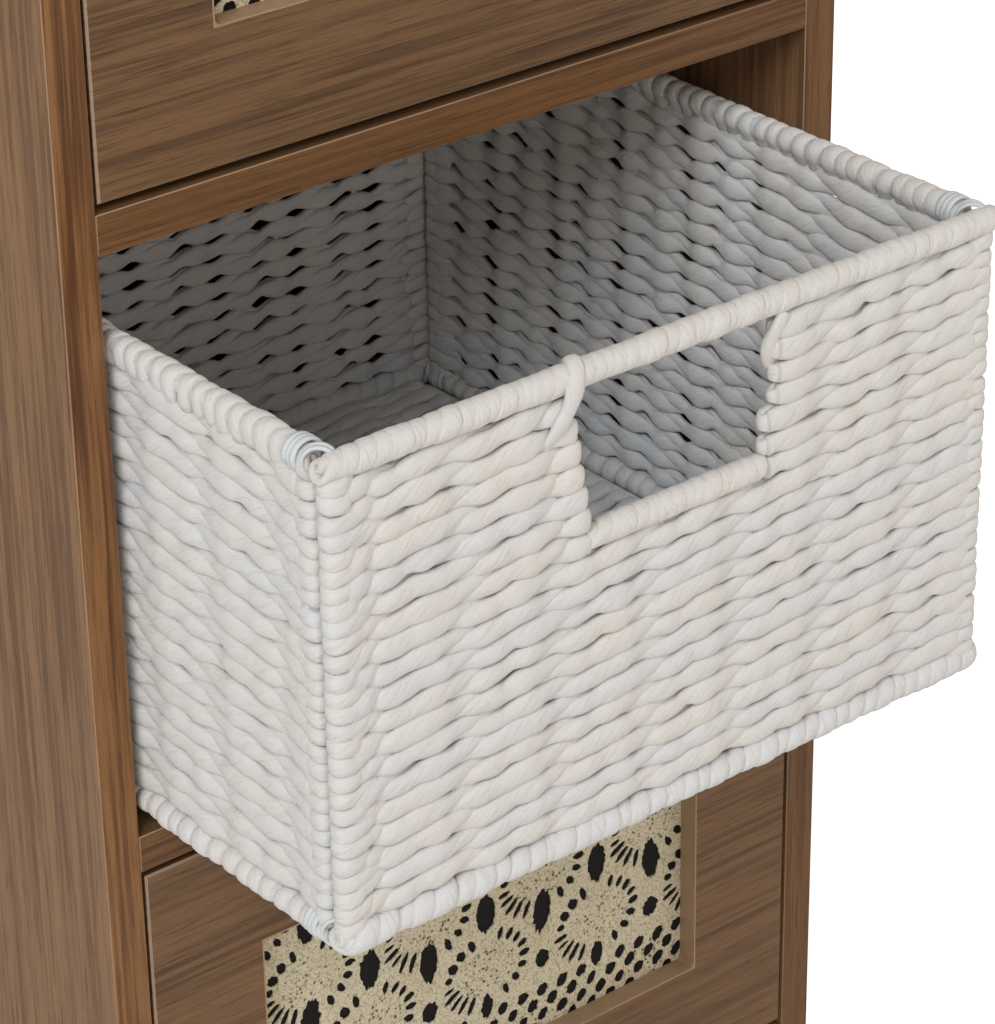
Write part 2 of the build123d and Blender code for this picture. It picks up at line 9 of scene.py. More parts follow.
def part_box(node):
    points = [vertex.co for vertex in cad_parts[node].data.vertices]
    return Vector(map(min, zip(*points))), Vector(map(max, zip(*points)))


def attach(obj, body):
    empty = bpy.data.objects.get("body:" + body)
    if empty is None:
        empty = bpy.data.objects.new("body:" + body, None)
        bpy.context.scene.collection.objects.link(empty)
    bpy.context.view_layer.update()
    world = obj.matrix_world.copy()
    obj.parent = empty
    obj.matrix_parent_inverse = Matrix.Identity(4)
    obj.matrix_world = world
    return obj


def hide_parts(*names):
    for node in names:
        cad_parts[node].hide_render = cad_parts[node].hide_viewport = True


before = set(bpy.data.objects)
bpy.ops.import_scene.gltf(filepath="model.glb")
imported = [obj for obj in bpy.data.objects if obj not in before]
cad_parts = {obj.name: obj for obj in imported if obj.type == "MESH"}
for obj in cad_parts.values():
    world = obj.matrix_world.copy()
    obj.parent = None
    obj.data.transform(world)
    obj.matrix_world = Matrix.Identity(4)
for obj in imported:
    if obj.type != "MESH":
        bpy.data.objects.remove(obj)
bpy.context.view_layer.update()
mm = 0.001


# Camera. The photograph looks down on the cabinet's front from its left,
# close enough that the top and the foot are out of the picture.
yaw, pitch, roll = (math.radians(angle) for angle in (38.67, -28.12, -0.98))
camera_place = (-0.7795, -1.1030, 1.0272)
camera_data = bpy.data.cameras.new("camera")
camera_data.lens = 134.24
camera_data.sensor_width = 36
camera = bpy.data.objects.new("camera", camera_data)
bpy.context.collection.objects.link(camera)
bpy.context.scene.camera = camera
turned = Matrix.Rotation(-yaw, 4, "Z") @ Matrix.Rotation(math.pi / 2 + pitch, 4, "X")
camera.matrix_world = Matrix.Translation(camera_place) @ turned @ Matrix.Rotation(roll, 4, "Z")


# Carcass boards. Particle board faced with walnut-effect foil: the sides' grain stands upright,
# and the grain of the shelves, the base and the top runs across.
def add(tree, kind, **inputs):
    """Adds a shader node and sets or links its inputs by name."""
    made = tree.nodes.new("ShaderNode" + kind)
    for name, value in inputs.items():
        socket = made.inputs[name.replace("_", " ")]
        if isinstance(value, bpy.types.NodeSocket):
            tree.links.new(value, socket)
        else:
            socket.default_value = value
    return made


def calc(tree, operation, *values, clamp=False):
    """A math node's result."""
    made = tree.nodes.new("ShaderNodeMath")
    made.operation = operation
    made.use_clamp = clamp
    for socket, value in zip(made.inputs, values):
        if isinstance(value, bpy.types.NodeSocket):
            tree.links.new(value, socket)
        else:
            socket.default_value = value
    return made.outputs[0]


def mix(tree, amount, first, second, kind="MIX"):
    """Two colours mixed by an amount from 0 to 1."""
    made = tree.nodes.new("ShaderNodeMix")
    made.data_type = "RGBA"
    made.blend_type = kind
    for socket, value in zip((made.inputs[0], made.inputs[6], made.inputs[7]), (amount, first, second)):
        if isinstance(value, bpy.types.NodeSocket):
            tree.links.new(value, socket)
        else:
            socket.default_value = value if isinstance(value, (int, float)) else (*value, 1)
    return made.outputs[2]


def between(tree, value, low, high):
    """0 below the low value, 1 above the high one, and a smooth rise between them."""
    made = add(tree, "MapRange", Value=value, From_Min=low, From_Max=high)
    made.interpolation_type = "SMOOTHSTEP"
    return made.outputs[0]


def noise(tree, vector, scale, detail=2.0, roughness=0.5, distortion=0.0):
    """A noise texture's value."""
    made = add(tree, "TexNoise", Vector=vector, Scale=scale, Detail=detail, Roughness=roughness,
               Distortion=distortion)
    return made.outputs[0]


def stretched(tree, vector, *factors):
    """A vector with each direction multiplied by its factor."""
    made = add(tree, "VectorMath")
    made.operation = "MULTIPLY"
    tree.links.new(vector, made.inputs[0])
    made.inputs[1].default_value = factors
    return made.outputs[0]


def new_group(name, inputs, outputs):
    """An empty shader group with named sockets.

    Returns its tree, its inputs and a call that sets an output."""
    tree = bpy.data.node_groups.new(name, "ShaderNodeTree")
    for label, kind in inputs.items():
        tree.interface.new_socket(label, in_out="INPUT", socket_type="NodeSocket" + kind)
    for label, kind in outputs.items():
        tree.interface.new_socket(label, in_out="OUTPUT", socket_type="NodeSocket" + kind)
    start = tree.nodes.new("NodeGroupInput")
    end = tree.nodes.new("NodeGroupOutput")
    return tree, start.outputs, lambda label, value: tree.links.new(value, end.inputs[label])


def use_group(tree, group, **inputs):
    """A group placed in a material's tree. Returns its outputs."""
    made = tree.nodes.new("ShaderNodeGroup")
    made.node_tree = group
    for name, value in inputs.items():
        tree.links.new(value, made.inputs[name])
    return made.outputs


def new_material(name):
    """A material with an empty tree. Returns it, its tree and its surface shader."""
    material = bpy.data.materials.new(name)
    material.use_nodes = True
    tree = material.node_tree
    return material, tree, tree.nodes["Principled BSDF"]


def bump(tree, shader, height, distance, strength):
    """Raises a surface by a height pattern."""
    made = add(tree, "Bump", Height=height, Distance=distance, Strength=strength)
    tree.links.new(made.outputs[0], shader.inputs["Normal"])


def paint(node, material):
    """Gives a CAD node's faces one material."""
    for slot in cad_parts[node].material_slots:
        slot.material = material


wood_figure, wood_input, wood_output = new_group(
    "wood_figure", {"Grain": "Vector"}, {"Tone": "Float", "Streaks": "Float", "Pores": "Float"})
sway_repeats, tone_repeats = (9, 9, 2.2), (34, 34, 2.4)
streak_repeats, pore_repeats = (330, 330, 7), (1500, 1500, 45)
sway_reach = 6 * mm
sway = add(wood_figure, "TexNoise", Vector=stretched(wood_figure, wood_input["Grain"], *sway_repeats),
           Scale=1.0, Detail=2.0)
swayed = add(wood_figure, "VectorMath")
swayed.operation = "MULTIPLY_ADD"
wood_figure.links.new(sway.outputs["Color"], swayed.inputs[0])
swayed.inputs[1].default_value = (sway_reach, sway_reach, 0)
wood_figure.links.new(wood_input["Grain"], swayed.inputs[2])
grain_line = swayed.outputs[0]
tones = noise(wood_figure, stretched(wood_figure, grain_line, *tone_repeats), 1.0, 2.0)
streak_noise = noise(wood_figure, stretched(wood_figure, grain_line, *streak_repeats), 1.0, 4.0, 0.62)
pore_noise = noise(wood_figure, stretched(wood_figure, grain_line, *pore_repeats), 1.0, 2.0, 0.6)
wood_output("Tone", tones)
wood_output("Streaks", streak_noise)
wood_output("Pores", between(wood_figure, pore_noise, 0.53, 0.72))


def turned_to_grain(tree, along):
    """Object coordinates with the grain's direction last."""
    place = add(tree, "TexCoord").outputs["Object"]
    parts = add(tree, "SeparateXYZ", Vector=place).outputs
    order = {"x": (1, 2, 0), "y": (0, 2, 1), "z": (0, 1, 2)}[along]
    made = add(tree, "CombineXYZ", X=parts[order[0]], Y=parts[order[1]], Z=parts[order[2]])
    return made.outputs[0]


grain_depth, wood_roughness = 0.12 * mm, 0.42


def wood(name, along, dark, middle, light, pore_shade=0.45):
    """A faced or solid wood whose grain runs along one direction.

    Returns the material, its tree, its surface shader and its colour."""
    material, tree, shader = new_material(name)
    figure = use_group(tree, wood_figure, Grain=turned_to_grain(tree, along))
    streaks = between(tree, figure["Streaks"], 0.38, 0.60)
    broad = between(tree, figure["Tone"], 0.3, 0.72)
    base = mix(tree, streaks, dark, middle)
    base = mix(tree, calc(tree, "MULTIPLY", broad, 0.55), base, light)
    pores = calc(tree, "MULTIPLY", figure["Pores"], pore_shade)
    base = mix(tree, pores, base, tuple(channel * 0.45 for channel in dark))
    tree.links.new(base, shader.inputs["Base Color"])
    rough = calc(tree, "MULTIPLY_ADD", figure["Pores"], 0.2, wood_roughness)
    tree.links.new(rough, shader.inputs["Roughness"])
    shader.inputs["Specular IOR Level"].default_value = 0.25
    height = calc(tree, "MULTIPLY_ADD", figure["Pores"], -1.0, calc(tree, "MULTIPLY", streaks, 0.5))
    bump(tree, shader, height, grain_depth, 0.8)
    return material, tree, shader, base


side_colours = (0.125, 0.062, 0.028), (0.230, 0.124, 0.060), (0.265, 0.150, 0.076)
shelf_colours = (0.090, 0.044, 0.020), (0.160, 0.085, 0.040), (0.190, 0.105, 0.052)
hardboard_colours = (0.045, 0.030, 0.020), (0.062, 0.042, 0.029), (0.075, 0.052, 0.036)
side_wood = wood("side_wood", "z", *side_colours)[0]
shelf_wood = wood("shelf_wood", "x", *shelf_colours)[0]
hardboard = wood("hardboard", "z", *hardboard_colours)[0]
for node in ("left_side_panel", "right_side_panel"):
    paint(node, side_wood)
for node in ("top_panel", "upper_shelf", "lower_shelf", "bottom_panel"):
    paint(node, shelf_wood)
paint("back_panel", hardboard)


# Edging. Thin strips in a redder, livelier walnut print cover the boards' front edges, and the top's sides
# too. Their corners are rubbed round and carry a light line: a painted highlight, partly rubbed print.
corner_round = 0.5 * mm
edging_colours = (0.085, 0.032, 0.011), (0.225, 0.104, 0.038), (0.255, 0.126, 0.048)
# Colour of the painted highlight, partly rubbed print, on the strips' rounded corners.
edging_highlight_and_wear = (0.36, 0.24, 0.16)


def lit_and_rubbed_corners(tree, shader, base, amount, colour):
    """Shows a board's front corners lighter, as a painted highlight and partly rubbed print."""
    facing = add(tree, "SeparateXYZ", Vector=add(tree, "NewGeometry").outputs["True Normal"]).outputs["Y"]
    turned_forward = calc(tree, "LESS_THAN", facing, -0.2)
    not_quite_flat = calc(tree, "GREATER_THAN", facing, -0.97)
    highlight_and_wear_mask = calc(tree, "MULTIPLY", turned_forward, not_quite_flat)
    base = mix(tree, calc(tree, "MULTIPLY", highlight_and_wear_mask, amount), base, colour)
    tree.links.new(base, shader.inputs["Base Color"])


def edging_wood(name, along, strength):
    """The edging's walnut print, darker or paler as a whole."""
    colours = [tuple(channel * strength for channel in colour) for colour in edging_colours]
    material, tree, shader, base = wood(name, along, *colours)
    # Painted highlight, partly rubbed print, on the rounded front corners.
    lit_and_rubbed_corners(tree, shader, base, 0.6, edging_highlight_and_wear)
    return material


edging_woods = {
    "left_front_edging": edging_wood("left_edging_wood", "z", 1.05),
    # The right edging is a darker copy of the same print: painted shade, where the light falls off to the
    # right.
    "right_front_edging": edging_wood("right_edging_shaded_wood", "z", 0.68),
}
rail_wood = edging_wood("rail_edging_wood", "x", 0.70)
side_rail_wood = edging_wood("side_rail_edging_wood", "y", 0.70)


def edging_strip(node, *blocks):
    """Strips with rounded outer edges, one for each block, in place of the CAD strip."""
    shape = bmesh.new()
    for low, high, outward in blocks:
        middle = (low + high) / 2
        corners = bmesh.ops.create_cube(shape, size=1.0)["verts"]
        bmesh.ops.scale(shape, vec=high - low, verts=corners)
        bmesh.ops.translate(shape, vec=middle, verts=corners)
        edges = {edge for corner in corners for edge in corner.link_edges}
        outer = [edge for edge in edges if all((end.co - middle).dot(outward) > 0 for end in edge.verts)]
        bmesh.ops.bevel(shape, geom=outer, offset=corner_round, segments=4, profile=0.5, affect="EDGES")
    mesh = bpy.data.meshes.new(node + "_strip")
    shape.to_mesh(mesh)
    shape.free()
    mesh.materials.append(edging_woods.get(node, rail_wood))
    mesh.materials.append(side_rail_wood)
    front_face = blocks[0][1].y
    for face in mesh.polygons:
        face.use_smooth = max(abs(part) for part in face.normal) < 0.999
        face.material_index = 1 if face.center.y > front_face + 0.01 * mm else 0
    strip = bpy.data.objects.new(node + "_strip", mesh)
    bpy.context.collection.objects.link(strip)
    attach(strip, "carcass")
    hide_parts(node)


forward = Vector((0, -1, 0))
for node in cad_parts:
    if node.endswith("_edging") and node != "top_panel_edging":
        edging_strip(node, (*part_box(node), forward))
low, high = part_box("top_panel_edging")
board_low, board_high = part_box("top_panel")
edging_strip("top_panel_edging",
             (low, Vector((high.x, board_low.y, high.z)), forward),
             (Vector((low.x, board_low.y, low.z)), Vector((board_low.x, high.y, high.z)), Vector((-1, 0, 0))),
             (Vector((board_high.x, board_low.y, low.z)), high, Vector((1, 0, 0))))


# Fittings. Beech dowels and zinc-plated cam fittings hold the boards, waxed beech runners and cleats carry
# the drawers, and four nailed glides keep the sides off the floor.
def metal(name, colour, rough):
    """Plated steel with a faint clouding."""
    material, tree, shader = new_material(name)
    place = add(tree, "TexCoord").outputs["Object"]
    cloud = noise(tree, place, 900.0, 3.0)
    clouded = tuple(0.8 * part for part in colour)
    tree.links.new(mix(tree, cloud, colour, clouded), shader.inputs["Base Color"])
    tree.links.new(calc(tree, "MULTIPLY_ADD", cloud, 0.2, rough), shader.inputs["Roughness"])
    shader.inputs["Metallic"].default_value = 1.0
    bump(tree, shader, noise(tree, place, 4000.0, 2.0), 0.02 * mm, 0.4)
    return material


beech_colours = (0.42, 0.27, 0.15), (0.53, 0.37, 0.22), (0.60, 0.44, 0.28)
zinc_colour = (0.62, 0.63, 0.64)
glide_colours = (0.020, 0.015, 0.012), (0.035, 0.028, 0.022)
beech = wood("beech", "y", *beech_colours, 0.3)[0]
zinc = metal("zinc", zinc_colour, 0.32)
glide_plastic, tree, shader = new_material("glide_plastic")
mottle = noise(tree, add(tree, "TexCoord").outputs["Object"], 700.0, 3.0)
tree.links.new(mix(tree, mottle, *glide_colours), shader.inputs["Base Color"])
tree.links.new(calc(tree, "MULTIPLY_ADD", mottle, 0.2, 0.4), shader.inputs["Roughness"])
bump(tree, shader, mottle, 0.05 * mm, 0.5)
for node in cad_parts:
    if node.endswith(("_runner", "_cleat", "_dowels")):
        paint(node, beech)
    elif node.endswith("_screws") or node.startswith("cam_"):
        paint(node, zinc)
    elif node == "floor_glides":
        paint(node, glide_plastic)


# Drawer boxes. Pale lacquered boards behind the fronts, grooved for the runners and held by dowels and
# screws. A black board and its beading close the window behind the lace.
box_colours = (0.46, 0.32, 0.19), (0.60, 0.45, 0.29), (0.67, 0.52, 0.35)
backing_colours = (0.004, 0.004, 0.004), (0.010, 0.009, 0.009)
box_wood_deep = wood("box_wood_deep", "y", *box_colours, 0.25)[0]
box_wood_wide = wood("box_wood_wide", "x", *box_colours, 0.25)[0]
backing, tree, shader = new_material("backing_black")
fleck = noise(tree, add(tree, "TexCoord").outputs["Object"], 500.0, 4.0, 0.6)
tree.links.new(mix(tree, fleck, *backing_colours), shader.inputs["Base Color"])
tree.links.new(calc(tree, "MULTIPLY_ADD", fleck, 0.2, 0.7), shader.inputs["Roughness"])
shader.inputs["Specular IOR Level"].default_value = 0.2
bump(tree, shader, fleck, 0.05 * mm, 0.4)
for level in ("upper", "lower"):
    paint(level + "_drawer_left_side", box_wood_deep)
    paint(level + "_drawer_right_side", box_wood_deep)
    paint(level + "_drawer_back", box_wood_wide)
    paint(level + "_drawer_bottom", box_wood_wide)
    paint(level + "_beading", box_wood_wide)
    paint(level + "_backing", backing)


# Drawer fronts. Walnut-effect boards whose grain runs across, with lighter eased edges and a bare tan ledge
# round the window. The lighter edges are a painted highlight, partly rubbed print.
face_colours = (0.078, 0.040, 0.020), (0.168, 0.089, 0.041), (0.186, 0.102, 0.048)
face_highlight_and_wear = (0.36, 0.26, 0.19)
ledge_colours = (0.30, 0.195, 0.115), (0.35, 0.235, 0.145)
ledge_wide, ledge_high = 109.2 * mm, 55.7 * mm
for level in ("upper", "lower"):
    low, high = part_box(level + "_drawer_front")
    middle = (low + high) / 2
    material, tree, shader, base = wood(level + "_front_wood", "x", *face_colours)
    place = add(tree, "SeparateXYZ", Vector=add(tree, "TexCoord").outputs["Object"]).outputs
    off_x = calc(tree, "ABSOLUTE", place["X"])
    off_z = calc(tree, "ABSOLUTE", calc(tree, "SUBTRACT", place["Z"], middle.z))
    inside = calc(tree, "MULTIPLY", calc(tree, "LESS_THAN", off_x, ledge_wide),
                  calc(tree, "LESS_THAN", off_z, ledge_high))
    bare = mix(tree, noise(tree, add(tree, "TexCoord").outputs["Object"], 180.0, 3.0), *ledge_colours)
    base = mix(tree, inside, base, bare)
    # Painted highlight, partly rubbed print, on the eased edges.
    lit_and_rubbed_corners(tree, shader, base, 0.7, face_highlight_and_wear)
    paint(level + "_drawer_front", material)


# Lace. Crocheted cotton, cut larger than the window and held flat in its rebate. Oval motifs of close mesh
# stand in staggered rows over a strip of plain eyelets, with bars and long drops between them.
motif_pitch, motif_row_pitch, motif_shift, motif_lift = 58 * mm, 34 * mm, 5 * mm, 25.7 * mm
ring_half_width, ring_half_height = 19.5 * mm, 15.5 * mm
under_drop_distance, side_drop_distance = 18 * mm, 7.5 * mm
ground_height, ground_pitch, ground_row_pitch, ground_lift = 19.5 * mm, 10.4 * mm, 6.1 * mm, 4.2 * mm
# Each gap of a ring: its place round the motif in degrees, its length and its width in millimetres.
ring_gaps = (
    (0, 5.6, 3.4), (-20, 5.2, 3.4), (-40, 5.4, 3.4), (-60, 6.2, 3.2), (-114, 9, 2.9), (-129, 9.5, 2.9),
    (-143, 9.5, 2.9), (-157, 9, 2.9), (-171, 7.5, 3), (170, 4.4, 3.6), (151, 6.4, 5), (131, 6.2, 4.6),
    (112, 6.4, 3.2), (68, 6.4, 3), (52, 5.8, 3.2), (36, 5.6, 3.4), (18, 5.6, 3.4))
# Length and width of the drops under and beside a motif, in millimetres.
lowest_drops, upper_drops = ((12, 6.5), (9.5, 8)), ((20, 9.6), (18.5, 10))
lace_edge, lace_thickness, thinnest_bar = 3 * mm, 0.8 * mm, 1.2 * mm
neighbour_reach, shrink = 17 * mm, 0.93
drop_roundness, ring_roundness, least_gap = 1.8, 1.9, 0.4
eyelet_rows, eyelet_lengths, eyelet_widths = 4, (5.8, 7.0), (5.0, 5.8)
eyelet_lean, eyelet_roundness, least_eyelet = 1.0, 2.1, 0.72
hem = 0.25 * mm
cotton_colours = (0.56, 0.50, 0.365), (0.68, 0.62, 0.475)
thread_hollow_painted_shade, knot_crease_painted_shade, pinhole_shade = (0.38, 0.32, 0.21), (0.22, 0.18, 0.11), (0.05, 0.04, 0.03)


def ragged_gap(random, x, z, length, width, angle, roundness):
    """A gap's outline with a stitched edge: an oval at roundness 2 and more pointed below it."""
    count = int(10 + (length + width) / (1.1 * mm))
    turn = np.linspace(0, 2 * math.pi, count, endpoint=False) + random.uniform(0, 0.4)
    rough = random.normal(1, 0.075, count)
    along = length / 2 * np.sign(np.cos(turn)) * np.abs(np.cos(turn)) ** (2 / roundness) * rough
    across = width / 2 * np.sign(np.sin(turn)) * np.abs(np.sin(turn)) ** (2 / roundness) * rough
    angle = angle + random.normal(0, 0.06)
    return np.stack([x + along * math.cos(angle) - across * math.sin(angle),
                     z + along * math.sin(angle) + across * math.cos(angle)], axis=-1)


def spaced(count, spacing):
    """Places either side of zero, with the given spacing."""
    return [(index - (count - 1) / 2) * spacing for index in range(count)]


def lace_gaps(random, half_x, half_z):
    """The outlines of all the gaps in a sheet whose pattern reaches half_x and half_z from its middle."""
    gaps = []
    ground_top = ground_height - half_z

    def gap(x, z, length, width, angle, roundness, lowest=ground_top, least=least_gap):
        """Adds a gap that keeps its distance from the others, or none where that makes it too small."""
        reach_x = abs(math.cos(angle)) * length / 2 + abs(math.sin(angle)) * width / 2
        reach_z = abs(math.sin(angle)) * length / 2 + abs(math.cos(angle)) * width / 2
        if abs(x) + reach_x < half_x and lowest + reach_z < z < half_z - reach_z:
            size = random.uniform(0.9, 1.06)
            outline = ragged_gap(random, x, z, length * size, width * size, angle, roundness)
            centre = outline.mean(axis=0)
            beside = [other for other in gaps
                      if np.linalg.norm(other.mean(axis=0) - centre) < neighbour_reach]
            while size > least and any(
                    np.linalg.norm(outline[:, None] - other, axis=-1).min() < thinnest_bar
                    for other in beside):
                outline = centre + (outline - centre) * shrink
                size *= shrink
            if size > least:
                gaps.append(outline)

    columns = int(half_x // motif_pitch) + 2
    first_row = ground_top + motif_lift
    for row in range(int((half_z + motif_row_pitch - first_row) // motif_row_pitch) + 1):
        under_drop, side_drop = lowest_drops if row == 0 else upper_drops
        for column in range(-columns, columns + 1):
            motif_x = column * motif_pitch + motif_shift - (row % 2) * motif_pitch / 2
            motif_z = first_row + row * motif_row_pitch
            length, width = under_drop
            gap(motif_x, motif_z - under_drop_distance,
                length * mm, width * mm, math.pi / 2, drop_roundness)
            length, width = side_drop
            gap(motif_x - motif_pitch / 2, motif_z - side_drop_distance,
                length * mm, width * mm, math.pi / 2, drop_roundness)
            for degrees, length, width in ring_gaps:
                turn = math.radians(degrees)
                across = ring_half_width * math.cos(turn)
                up = ring_half_height * math.sin(turn)
                lean = math.atan2(1.5 * up, across)
                gap(motif_x + across, motif_z + up, length * mm, width * mm, lean, ring_roundness)
    for row in range(eyelet_rows):
        shift = ground_pitch / 4 if row % 2 else -ground_pitch / 4
        for place in spaced(int(2 * half_x // ground_pitch), ground_pitch):
            gap(place + shift, ground_lift + row * ground_row_pitch - half_z,
                random.uniform(*eyelet_lengths) * mm, random.uniform(*eyelet_widths) * mm,
                eyelet_lean, eyelet_roundness, -half_z, least_eyelet)
    return gaps


mesh_half_width, mesh_half_height = ring_half_width - 4 * mm, ring_half_height - 3.5 * mm
lattice, lattice_input, lattice_output = new_group("motif_mesh", {"Place": "Vector"}, {"Dots": "Float"})
parts = add(lattice, "SeparateXYZ", Vector=lattice_input["Place"]).outputs
nearest = None
for shift_x, shift_z in ((motif_shift, 0), (motif_shift - motif_pitch / 2, motif_row_pitch)):
    across = calc(lattice, "SUBTRACT", parts["X"], shift_x)
    across = calc(lattice, "WRAP", across, motif_pitch / 2, -motif_pitch / 2)
    across = calc(lattice, "DIVIDE", across, mesh_half_width)
    up = calc(lattice, "SUBTRACT", parts["Z"], shift_z)
    up = calc(lattice, "WRAP", up, motif_row_pitch, -motif_row_pitch)
    up = calc(lattice, "DIVIDE", up, mesh_half_height)
    away = calc(lattice, "ADD", calc(lattice, "POWER", calc(lattice, "ABSOLUTE", across), 2.0),
                calc(lattice, "POWER", calc(lattice, "ABSOLUTE", up), 2.0))
    nearest = away if nearest is None else calc(lattice, "MINIMUM", nearest, away)
in_motif = between(lattice, nearest, 1.15, 0.75)
pins = add(lattice, "TexVoronoi", Vector=lattice_input["Place"], Scale=470.0, Randomness=0.75)
open_pins = between(lattice, pins.outputs["Distance"], 0.40, 0.24)
thinned = between(lattice, noise(lattice, lattice_input["Place"], 160.0, 2.0), 0.30, 0.55)
lattice_output("Dots", calc(lattice, "MULTIPLY", calc(lattice, "MULTIPLY", in_motif, open_pins), thinned))

for number, level in enumerate(("upper", "lower")):
    low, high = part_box(level + "_lace")
    middle = (low + high) / 2
    half_x, half_z = (high.x - low.x) / 2, (high.z - low.z) / 2
    random = np.random.default_rng(70 + number)
    border = np.array([(-half_x, -half_z), (half_x, -half_z), (half_x, half_z), (-half_x, half_z)])
    gaps = lace_gaps(random, half_x - lace_edge, half_z - lace_edge)
    curve = bpy.data.curves.new(level + "_lace_outline", "CURVE")
    curve.dimensions = "2D"
    curve.fill_mode = "BOTH"
    curve.bevel_depth = hem
    curve.offset = -hem
    curve.bevel_resolution = 1
    curve.extrude = lace_thickness / 2 - curve.bevel_depth
    for outline in [border, *gaps]:
        spline = curve.splines.new("POLY")
        spline.points.add(len(outline) - 1)
        spline.points.foreach_set("co", np.pad(outline, ((0, 0), (0, 2))).ravel())
        spline.use_cyclic_u = True
    pattern = bpy.data.objects.new(level + "_lace_outline", curve)
    bpy.context.collection.objects.link(pattern)
    bpy.context.view_layer.update()
    mesh = bpy.data.meshes.new_from_object(pattern.evaluated_get(bpy.context.evaluated_depsgraph_get()))
    bpy.data.objects.remove(pattern)
    mesh.transform(Matrix.Translation(middle) @ Matrix.Rotation(math.pi / 2, 4, "X"))
    mesh.name = level + "_lace_sheet"
    cloth = bpy.data.objects.new(level + "_lace_sheet", mesh)
    bpy.context.collection.objects.link(cloth)

    cotton, tree, shader = new_material(level + "_cotton")
    place = add(tree, "TexCoord").outputs["Object"]
    shifted = add(tree, "VectorMath")
    shifted.operation = "SUBTRACT"
    tree.links.new(place, shifted.inputs[0])
    shifted.inputs[1].default_value = (0, 0, middle.z + ground_height - half_z + lace_edge + motif_lift)
    dots = use_group(tree, lattice, Place=shifted.outputs[0])["Dots"]
    knots = add(tree, "TexVoronoi", Vector=place, Scale=1100.0).outputs["Distance"]
    threads = noise(tree, place, 1500.0, 3.0, 0.65)
    base = mix(tree, noise(tree, place, 60.0, 3.0), *cotton_colours)
    # Painted shade darkens the hollows between the threads and the creases between the knots.
    base = mix(tree, between(tree, threads, 0.5, 0.32), base, thread_hollow_painted_shade)
    base = mix(tree, calc(tree, "MULTIPLY", between(tree, knots, 0.55, 0.85), 0.6), base, knot_crease_painted_shade)
    base = mix(tree, calc(tree, "MULTIPLY", dots, 0.85), base, pinhole_shade)
    tree.links.new(base, shader.inputs["Base Color"])
    shader.inputs["Roughness"].default_value = 0.85
    shader.inputs["Specular IOR Level"].default_value = 0.15
    height = calc(tree, "MULTIPLY_ADD", knots, 0.7, calc(tree, "SUBTRACT", threads, dots))
    bump(tree, shader, height, 0.5 * mm, 0.8)
    mesh.materials.clear()
    mesh.materials.append(cotton)
    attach(cloth, level + "_drawer")
    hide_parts(level + "_lace")


# Basket rope. Twisted paper, thumb-soft and slightly creased, wound in pairs of strands. Each tube here is
# one strand, and it carries its own winding direction for the creases.
any_phase, tapered_end, strand_twist = 6.28, 0.03, 0.165
paper_colours = (0.625, 0.618, 0.618), (0.632, 0.612, 0.592)
cool_paper, warm_paper, crease_shade_paper = (0.608, 0.622, 0.650), (0.622, 0.582, 0.565), (0.46, 0.425, 0.40)


